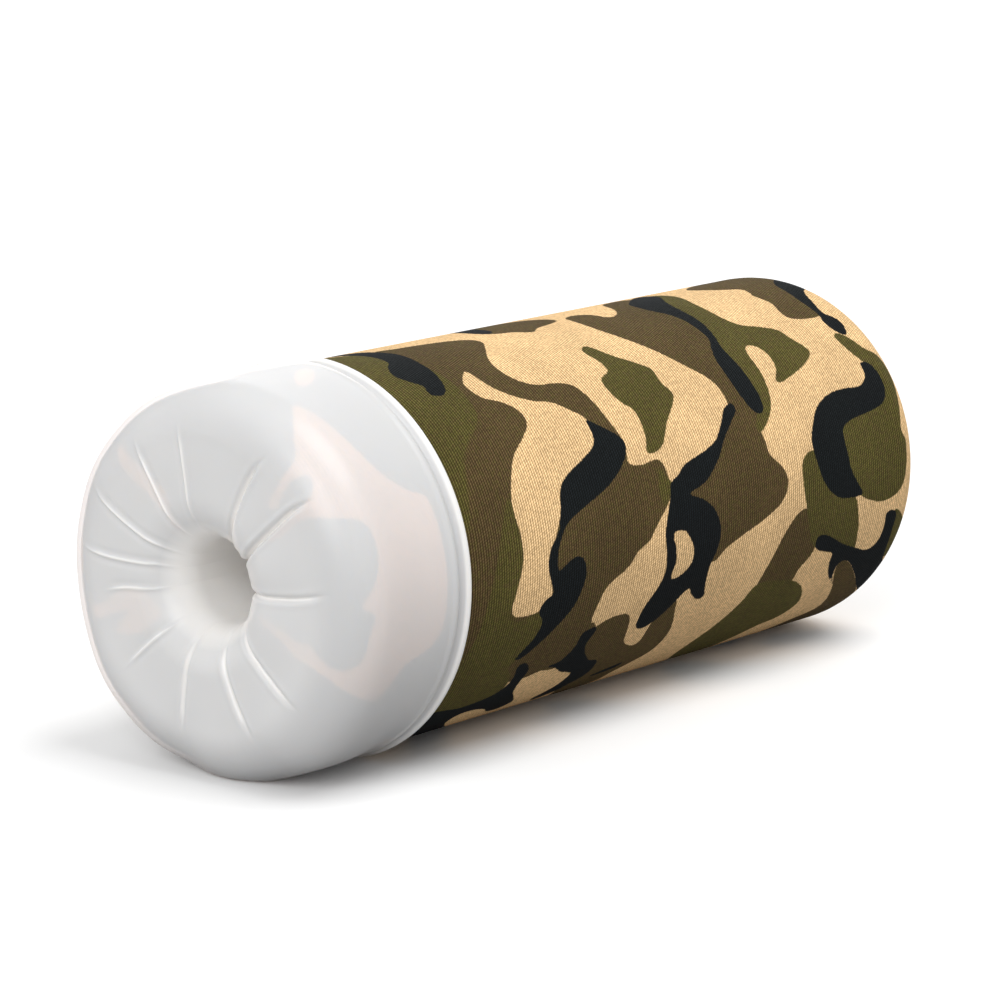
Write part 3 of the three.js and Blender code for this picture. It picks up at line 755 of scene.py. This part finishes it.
# ---- Materials ----
class Shader:
    """A few short ways to build a material's nodes."""

    def __init__(self, name, **values):
        self.material = bpy.data.materials.new(name)
        self.material.use_nodes = True
        self.tree = self.material.node_tree
        self.nodes = self.tree.nodes
        self.bsdf = self.filled(self.nodes["Principled BSDF"], values)
        self.output = self.nodes["Material Output"]
        self.place = self.node("TexCoord").outputs["Object"]

    def filled(self, n, values):
        for key, value in values.items():
            n.inputs[key.replace("_", " ")].default_value = value
        return n

    def link(self, source, target):
        if isinstance(source, (int, float)):
            target.default_value = source
        elif isinstance(source, tuple):
            target.default_value = (*source, 1.0) if len(target.default_value) == 4 else source
        else:
            self.tree.links.new(source, target)

    def node(self, kind, **values):
        return self.filled(self.nodes.new("ShaderNode" + kind), values)

    def math(self, operation, *values):
        n = self.node("Math")
        n.operation = operation
        for value, socket in zip(values, n.inputs):
            self.link(value, socket)
        return n.outputs[0]

    def plus(self, a, b):
        return self.math("ADD", a, b)

    def times(self, a, b):
        return self.math("MULTIPLY", a, b)

    def scaled(self, value, by, and_add):
        return self.math("MULTIPLY_ADD", value, by, and_add)

    def mapped(self, value, a, b, c=0.0, d=1.0):
        """value from a..b to c..d, eased and clamped."""
        n = self.node("MapRange", From_Min=a, From_Max=b, To_Min=c, To_Max=d)
        n.interpolation_type = "SMOOTHSTEP"
        self.link(value, n.inputs["Value"])
        return n.outputs["Result"]

    def mix(self, share, a, b, how="MIX"):
        n = self.node("Mix")
        n.data_type = "RGBA"
        n.blend_type = how
        self.link(share, n.inputs[0])
        self.link(a, n.inputs[6])
        self.link(b, n.inputs[7])
        return n.outputs[2]

    def pattern(self, kind, **values):
        n = self.node(kind, **values)
        self.link(self.place, n.inputs["Vector"])
        return n

    def noise(self, scale, detail=2.0):
        return self.pattern("TexNoise", Scale=scale, Detail=detail).outputs["Fac"]

    def bands(self, scale, direction, distortion):
        n = self.pattern("TexWave", Scale=scale, Distortion=distortion)
        n.bands_direction = direction
        return n.outputs["Fac"]

    def cells(self, scale):
        return self.pattern("TexVoronoi", Scale=scale).outputs["Distance"]

    def named(self, name):
        n = self.node("Attribute")
        n.attribute_name = name
        return n.outputs["Fac"]

    def bump(self, height, distance, strength=1.0):
        n = self.node("Bump", Strength=strength, Distance=distance)
        self.link(height, n.inputs["Height"])
        self.set("Normal", n.outputs["Normal"])

    def set(self, key, value):
        self.link(value, self.bsdf.inputs[key])

    def tinted(self, share, dark, light, rough, smoothest):
        """From dark and rough where the share is 0 to light and smoother where it is 1."""
        self.set("Base Color", self.mix(share, dark, light))
        self.set("Roughness", self.mapped(share, 0.0, 1.0, rough, smoothest))


def linear(r, g, b):
    """A colour given in 0-255 display values, as the shader takes it."""
    return tuple(
        (x / 255 / 12.92) if x <= 10 else (((x / 255) + 0.055) / 1.055) ** 2.4 for x in (r, g, b)
    )


TAN_INK = linear(238, 200, 150)
BROWN_INK = linear(88, 71, 45)
OLIVE_INK = linear(88, 82, 40)
BLACK_INK = linear(20, 24, 26)
RIB_MM = 0.76
THREAD_MM = 0.6
INK_EDGE = 0.16  # how sharply an ink stops, in mm to each side


def weave(s):
    """The cloth's height from 0 to 1: ribs that run round the tube, and the threads across."""
    cloth = s.node("UVMap")
    cloth.uv_map = "cloth"
    parts = s.node("SeparateXYZ")
    s.link(cloth.outputs[0], parts.inputs[0])
    u, v = parts.outputs[0], parts.outputs[1]
    along = s.plus(s.math("DIVIDE", u, RIB_MM), s.times(s.noise(55.0, 1.0), 0.3))
    rib = s.math("SINE", s.times(along, 2 * math.pi))
    across = s.plus(s.math("DIVIDE", v, THREAD_MM), s.times(along, 0.5))
    stitch = s.math("SINE", s.times(across, 2 * math.pi))
    both = s.scaled(stitch, s.scaled(rib, 0.08, 0.14), 0.5)
    return s.scaled(rib, 0.28, both)


def camo_material():
    s = Shader("camo cloth", Roughness=0.88, Specular_IOR_Level=0.12)
    height = weave(s)
    bleed = s.times(s.math("SUBTRACT", s.noise(1400.0), 0.5), 0.5)

    def inside(name):
        return s.plus(s.named(name), bleed)

    # single threads that took the neighbouring ink
    crossed = s.mapped(s.noise(1100.0), 0.42, 0.68, 0.0, 0.5)
    brown_ink = s.mix(crossed, BROWN_INK, OLIVE_INK)
    olive_ink = s.mix(crossed, OLIVE_INK, BROWN_INK)
    on_brown = s.mapped(s.named("brown"), 0.5, -0.5)
    colour = s.mix(s.mapped(inside("brown"), INK_EDGE, -INK_EDGE), TAN_INK, brown_ink)
    # olive runs softly into brown, and stops sharply against tan
    soft = s.scaled(on_brown, 0.25, INK_EDGE)
    olive_share = s.mapped(s.scaled(s.math("DIVIDE", inside("olive"), soft), -0.5, 0.5), 0.0, 1.0)
    colour = s.mix(olive_share, colour, olive_ink)
    colour = s.mix(s.mapped(inside("black"), INK_EDGE, -INK_EDGE), colour, BLACK_INK)
    # threads that took more or less ink, and slow unevenness of the dye; the weave's height adds
    # painted shade, darker in the gaps between the ribs
    flecks = s.mapped(s.noise(1500.0), 0.35, 0.65, 0.8, 1.12)
    cloudy = s.mapped(s.noise(60.0, 3.0), 0.3, 0.7, 0.93, 1.06)
    dye_and_painted_shade = s.times(s.times(flecks, cloudy), s.mapped(height, 0.1, 0.9, 0.5, 1.38))
    # the painted shade in the gaps between the ribs is deeper on the inked threads than on the bare
    # ground
    inked = s.times(s.math("MAXIMUM", on_brown, olive_share), 0.5)
    dye_and_painted_shade = s.times(dye_and_painted_shade, s.scaled(s.math("SUBTRACT", height, 0.5), inked, 1.0))
    # painted warm shade: the gaps between the ribs are painted warmer than their crowns
    tinted = s.node("CombineColor")
    s.link(s.times(dye_and_painted_shade, s.mapped(height, 0.1, 0.9, 1.04, 0.98)), tinted.inputs[0])
    s.link(dye_and_painted_shade, tinted.inputs[1])
    s.link(s.times(dye_and_painted_shade, s.mapped(height, 0.1, 0.9, 0.82, 1.06)), tinted.inputs[2])
    s.set("Base Color", s.mix(1.0, colour, tinted.outputs[0], "MULTIPLY"))
    s.set("Roughness", s.mapped(height, 0.0, 1.0, 0.95, 0.82))
    s.bump(height, 0.00014)
    return s.material


def sleeve_material():
    """Milky where it is lit from outside, clear from within. It is whiter and more opaque by one
    attribute: in the bore as painted light that lifts the shade in the hole, along the far rim as a
    painted sheen, and along the folds partly for the thicker elastomer and partly as a painted
    highlight.
    """
    s = Shader("milky elastomer", IOR=1.45, Subsurface_Weight=0.35, Subsurface_Scale=0.0012)
    s.bsdf.inputs["Subsurface Radius"].default_value = (1.0, 0.9, 0.8)
    slow, milk_and_painted_light = s.noise(40.0), s.named("milk_and_painted_light")
    milky = s.mix(slow, linear(250, 250, 250), linear(244, 245, 246))
    # whiter by the same attribute: painted light in the bore, a painted sheen on the far rim, and along
    # the folds partly thicker elastomer and partly a painted highlight
    s.set("Base Color", s.mix(milk_and_painted_light, milky, linear(255, 252, 248)))
    s.set("Roughness", s.mapped(slow, 0.3, 0.7, 0.28, 0.33))
    s.bump(s.noise(900.0), 0.00002, 0.25)
    clear = s.node("BsdfTransparent", Color=(1.0, 0.925, 0.89, 1.0))
    front = s.math("SUBTRACT", 1.0, s.node("NewGeometry").outputs["Backfacing"])
    mixed = s.node("MixShader")
    # more opaque by the same attribute, which hides the dark cloth and so paints that same light
    s.link(s.times(front, s.scaled(milk_and_painted_light, 0.24, 0.7)), mixed.inputs[0])
    s.link(clear.outputs[0], mixed.inputs[1])
    s.link(s.bsdf.outputs[0], mixed.inputs[2])
    s.link(mixed.outputs[0], s.output.inputs["Surface"])
    return s.material


def knit_material():
    s = Shader("lining knit")
    loops = s.scaled(s.noise(1300.0), 0.5, s.times(s.bands(320.0, "Y", 1.5), 0.5))
    s.set("Base Color", s.mix(loops, linear(24, 24, 23), linear(58, 57, 53)))
    s.set("Roughness", s.mapped(loops, 0.2, 0.8, 0.95, 0.82))
    s.bump(loops, 0.0002, 0.7)
    return s.material


def foam_material(name, dark, light, cell, hollow):
    s = Shader(name)
    pores = s.mapped(s.cells(cell), 0.15, 0.55)
    tint = s.scaled(s.noise(90.0, 3.0), 0.4, s.times(pores, 0.6))
    s.tinted(tint, dark, light, 0.98, 0.88)
    s.bump(s.math("SUBTRACT", 1.0, pores), hollow, 0.8)
    return s.material


def thread_material(name, dark, light):
    s = Shader(name)
    twist = s.bands(900.0, "DIAGONAL", 1.0)
    share = s.scaled(s.noise(2500.0), 0.4, s.times(twist, 0.6))
    s.tinted(share, dark, light, 0.8, 0.6)
    s.bump(share, 0.00005, 0.6)
    return s.material


camo = camo_material()
milky = sleeve_material()
knit = knit_material()
firm_foam = foam_material("firm foam", linear(44, 44, 45), linear(74, 74, 76), 1500.0, 0.0002)
soft_foam = foam_material("soft foam", linear(196, 189, 166), linear(232, 226, 208), 900.0, 0.0004)
thread = thread_material("seam thread", linear(58, 54, 34), linear(92, 86, 58))
braid = thread_material("covered elastic", linear(20, 20, 20), linear(52, 52, 52))


# ---- Pieces ----
def finished(obj, body, nodes, material):
    obj.data.materials.append(material)
    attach(obj, body)
    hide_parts(*nodes)
    return obj


finished(sleeve(), "liner", ["liner_sleeve"], milky)
shell, shell_u, shell_angle = cover()
paint(shell, shell_u, shell_angle)
finished(shell, "root", ["cover_wall"], camo)


CENTRE = 0.2  # where a profile that is closed on the axis starts and ends


def turned_piece(name, profile, count, solid=False, wrinkle=0.0, seed=0, lie=0.0):
    """A turned piece whose skin is a little uneven, from its profile in (rho, y). A solid one is
    closed on the axis, and lie is how far its lowest line is pressed up."""
    p = np.array(profile, float)
    angle = np.arange(count) * 360 / count
    wave = ripple(angle, seed, 3, 9) * wrinkle
    rows = []
    for k, (rho, y) in enumerate(p):
        row = ring(rho + wave * (math.sin(1.7 * k + seed) if rho > 1 else 0), y, angle)
        if lie:
            row[:, 2] = np.maximum(row[:, 2], AXIS_Z - rho + lie)
        rows.append(row)
    return mesh_of(name, np.array(rows), (p[0][1], p[-1][1]) if solid else None)


def dense(points, step=2.0):
    """The same outline with points about a step apart."""
    out = []
    for a, b in zip(points[:-1], points[1:]):
        a, b = np.array(a, float), np.array(b, float)
        count = max(1, int(np.linalg.norm(b - a) / step))
        out += [a + (b - a) * k / count for k in range(count)]
    return out + [np.array(points[-1], float)]


def round_corner(rho, y, radius, a, b, count=8):
    return [tuple(p) for p in arc_rows(rho, y, radius, a, b, count)[0]]


FOAM_DEPTH = FABRIC + 0.6  # the foam under the body's cloth
MOUTH_FOAM = COVER_DEPTH + FABRIC + 1.6  # the foam under the deepest crease
FOAM_RADIUS = CUFF_RADIUS - COVER_DEPTH - FABRIC - 1.4
CORE_RADIUS = radius_of(core_low, core_high)
BORE_FOAM = BORE + COVER_DEPTH + FABRIC + GAP


def foam_wall():
    front, inner = MOUTH_CORNER - MOUTH_FOAM, CORE_RADIUS + GAP
    back, rear = BACK_CORNER - FOAM_DEPTH, BODY_RADIUS - FOAM_DEPTH
    a = math.acos((inner - (FOAM_RADIUS - front)) / front) / DEG
    b = math.acos((inner - (rear - back)) / back) / DEG
    outline = [
        *round_corner(FOAM_RADIUS - front, CORNER_Y, front, -a, 0),
        (FOAM_RADIUS, BEAD_Y + 2),
        (rear, STEP_Y),
        *round_corner(rear - back, BACK_Y - BACK_CORNER, back, 0, b),
    ]
    outline = dense([*outline, outline[0]], 4.0)[:-1]
    obj = turned_piece("foam_wall_piece", outline, 120, wrinkle=0.05, seed=3, lie=2.2)
    return finished(obj, "root", ["foam_wall"], firm_foam)


def foam_core():
    start = math.acos((CORE_RADIUS - CORNER_RHO) / (MOUTH_CORNER - MOUTH_FOAM)) / DEG
    pocket = radius_of(elastic_low, elastic_high) + 0.4
    past = elastic_high[1] + 0.5
    lip = LIP - MOUTH_FOAM
    turn = math.acos((LIP_RHO - pocket) / lip) / DEG if LIP_RHO - pocket < lip else 0.0
    outline = [
        (BORE_FOAM, core_high[1]),
        (BORE_FOAM, past),
        (pocket, past),
        *round_corner(LIP_RHO, LIP_Y, lip, turn - 180, -90),
        *round_corner(CORNER_RHO, CORNER_Y, MOUTH_CORNER - MOUTH_FOAM, -90, -start),
        (CORE_RADIUS, core_high[1]),
    ]
    outline = dense([*outline, outline[0]], 5.0)[:-1]
    obj = turned_piece("foam_core_piece", outline, 96, wrinkle=0.04, seed=5)
    return finished(obj, "root", ["foam_core"], soft_foam)


def foam_base():
    back, rear = BACK_CORNER - FOAM_DEPTH, BODY_RADIUS - FOAM_DEPTH
    b = math.acos((CORE_RADIUS - (rear - back)) / back) / DEG
    outline = [
        (CENTRE, block_low[1]),
        (CORE_RADIUS, block_low[1]),
        *round_corner(rear - back, BACK_Y - BACK_CORNER, back, b, 90),
        (CENTRE, block_high[1] - 0.4),
    ]
    obj = turned_piece("foam_base_piece", dense(outline, 4.0), 96, True, wrinkle=0.05, seed=7)
    return finished(obj, "root", ["foam_base"], soft_foam)


def lining():
    inner, outer = BORE + COVER_DEPTH, BORE + COVER_DEPTH + 0.8
    end = lining_high[1]
    outline = [
        (CENTRE, end - 0.8),
        (inner - 1, end - 0.8),
        (inner, end - 2),
        (inner, lining_low[1]),
        (outer, lining_low[1]),
        (outer, end - 1.2),
        (outer - 1, end),
        (CENTRE, end),
    ]
    obj = turned_piece("bore_knit", dense(outline, 2.5), 72, True, wrinkle=0.1, seed=11)
    return finished(obj, "root", ["bore_lining"], knit)


def elastic():
    """The covered elastic ring: its braid makes small waves along it."""
    round_count, sides = 144, 10
    middle = radius_of(elastic_low, elastic_high) - 1.0
    y = (elastic_low[1] + elastic_high[1]) / 2
    angle = np.arange(round_count) * 360 / round_count
    rows = []
    for k in range(sides):
        t = 2 * math.pi * k / sides
        r = 0.82 + 0.06 * np.sin(24 * angle * DEG + t)
        rows.append(ring(middle + r * math.cos(t), y + r * math.sin(t), angle))
    obj = mesh_of("mouth_gather_ring", np.array(rows))
    return finished(obj, "root", ["mouth_elastic"], braid)


def stitches(name, places, radius, node):
    """Short threads, each a closed tube that arches a little between where it enters and leaves."""
    points, faces = [], []
    sides, steps = 6, 7
    for start, end, up in places:
        start, end, up = (np.array(x, float) for x in (start, end, up))
        run = (end - start) / np.linalg.norm(end - start)
        side = np.cross(run, up)
        base = len(points)
        for i in range(steps):
            t = i / (steps - 1)
            arch = math.sin(math.pi * t)
            size = radius * (0.45 + 0.55 * arch**0.5)
            middle = start + (end - start) * t + up * radius * 1.2 * (arch - 1)
            for k in range(sides):
                a = 2 * math.pi * k / sides
                points.append(middle + size * (side * math.cos(a) + up * math.sin(a)))
        for i in range(steps - 1):
            for k in range(sides):
                a, b = base + i * sides + k, base + i * sides + (k + 1) % sides
                faces.append([a, b, b + sides, a + sides])
        faces.append([base + k for k in range(sides)][::-1])
        faces.append([base + (steps - 1) * sides + k for k in range(sides)])
    mesh = bpy.data.meshes.new(name)
    mesh.from_pydata((np.array(points) * MM).tolist(), [], faces)
    mesh.polygons.foreach_set("use_smooth", [True] * len(faces))
    outward(mesh)
    return finished(linked(name, mesh), "root", [node], thread)


def stitches_round(name, count, rho, y, radius, node, up=None):
    """Stitches round the axis. up is the way that they arch, towards the axis if it isn't given."""
    places = []
    for k in range(count):
        start, middle, end = (np.array(a) * 360 / count for a in (k, k + 0.4, k + 0.8))
        inward = (-math.sin(middle * DEG), 0, -math.cos(middle * DEG))
        places.append((ring(rho, y, start), ring(rho, y, end), up or inward))
    return stitches(name, places, radius, node)


def base_stitches():
    rho, y = radius_of(ring_low, ring_high) - 0.2, ring_high[1] + 0.05
    up = (0, 1, 0)
    stitches_round("base_seam_stitches", 54, rho, y, STITCH_RADIUS, "base_seam_thread", up)


def hem_stitches():
    rho, y = radius_of(hem_low, hem_high) - 0.2, (hem_low[1] + hem_high[1]) / 2
    stitches_round("hem_stitches", 22, rho, y, 0.2, "mouth_seam_thread")


def wall_stitches():
    rho, pitch, length = BODY_RADIUS - 0.25, 3.0, 2.4
    up = (math.sin(SEAM_ANGLE * DEG), 0, math.cos(SEAM_ANGLE * DEG))
    angle = np.array(SEAM_ANGLE)
    places = []
    for k in range(int((seam_high[1] - seam_low[1]) / pitch)):
        y = seam_low[1] + k * pitch
        places.append((ring(rho, y, angle), ring(rho, y + length, angle), up))
    return stitches("wall_seam_stitches", places, STITCH_RADIUS, "wall_seam_thread")


def base_panel():
    """The crowned round panel of the closed end, with its print."""
    columns_round, rings, hidden_rings = 96, 40, 6
    angle = np.arange(columns_round) * 360 / columns_round
    front = np.append(np.linspace(0.4, PANEL_RADIUS - 1, rings), PANEL_RADIUS - 0.4)
    front = np.append(front, PANEL_RADIUS - 0.1)
    back = np.linspace(PANEL_RADIUS - 0.3, 0.4, hidden_rings)
    drop = 0.55 * (front / PANEL_RADIUS) ** 6
    drop[-1] = PANEL_DROP
    rho = np.append(front, back)
    depth = np.append(drop, back * 0 + FABRIC)
    rows = np.array([placed(r, BACK_Y - d, angle, FREE) for r, d in zip(rho, depth)])
    # the panel is cut from another place of the same cloth
    cut_u, cut_angle = 88, 62
    u = cut_u + rho[:, None] * np.sin(angle * DEG)
    v = cut_angle * PER_DEGREE + rho[:, None] * np.cos(angle * DEG)
    obj = mesh_of("camo_base", rows, (BACK_Y, BACK_Y - FABRIC), uv=np.stack([u, v], -1))
    paint(obj, u, v / PER_DEGREE)
    finished(obj, "root", ["cover_base"], camo)
    return obj


foam_wall()
foam_core()
foam_base()
lining()
elastic()
base_stitches()
hem_stitches()
wall_stitches()
base_panel()


# ---- The floor, the lights and the camera ----
def floor():
    n, half_side, below = 24, 3.0, 0.00005  # metres
    ticks = np.linspace(-half_side, half_side, n)
    points = [(x, y, -below) for y in ticks for x in ticks]
    corners = [j * n + i for j in range(n - 1) for i in range(n - 1)]
    mesh = bpy.data.meshes.new("floor")
    mesh.from_pydata(points, [], [(k, k + 1, k + n + 1, k + n) for k in corners])
    obj = linked("floor", mesh)
    s = Shader("pale floor", Roughness=0.9, Specular_IOR_Level=0.1)
    # white to the eye, but it throws back only part of the light, as a floor in a large room does
    seen = s.node("LightPath").outputs["Is Camera Ray"]
    white = s.mix(s.noise(3.0), linear(252, 252, 252), linear(250, 250, 250))
    s.set("Base Color", s.mix(seen, linear(170, 170, 170), white))
    mesh.materials.append(s.material)


def soft_light(name, toward, spread, strength):
    """A broad far light: toward points at it, and spread is how wide it looks, in degrees."""
    light = bpy.data.lights.new(name, "SUN")
    light.angle = spread * DEG
    light.energy = strength * math.pi
    obj = linked(name, light)
    obj.rotation_euler = Vector(toward).to_track_quat("Z", "Y").to_euler()


AMBIENT = 0.5


def studio():
    world = bpy.data.worlds.new("studio")
    world.use_nodes = True
    nodes, links = world.node_tree.nodes, world.node_tree.links
    nodes["Background"].inputs["Color"].default_value = (1, 1, 1, 1)
    # a white backdrop that lights the part less brightly than it looks
    seen = nodes.new("ShaderNodeLightPath").outputs["Is Camera Ray"]
    strength = nodes.new("ShaderNodeMath")
    strength.operation = "MULTIPLY_ADD"
    strength.inputs[1].default_value = 1 - AMBIENT
    strength.inputs[2].default_value = AMBIENT
    links.new(seen, strength.inputs[0])
    links.new(strength.outputs[0], nodes["Background"].inputs["Strength"])
    bpy.context.scene.world = world
    soft_light("key", (0.35, 0.2, 0.9), 40, 0.52)
    soft_light("front", (0.3, -0.8, 0.5), 40, 0.46)
    soft_light("left", (-0.85, -0.45, 0.2), 50, 0.14)
    soft_light("back", (-0.4, 0.85, 0.3), 50, 0.25)


def camera():
    data = bpy.data.cameras.new("camera")
    data.sensor_width = 36.0
    data.lens = FOCAL_LENGTH * data.sensor_width
    data.clip_end = 20
    obj = linked("camera", data)
    obj.location = (np.array([0, BEAD_Y, AXIS_Z]) + CAMERA_FROM_BEAD) * MM
    obj.rotation_euler = Vector(-TO_CAMERA).to_track_quat("-Z", "Y").to_euler()
    bpy.context.scene.camera = obj


floor()
studio()
camera()
bpy.context.scene.view_settings.view_transform = "Standard"
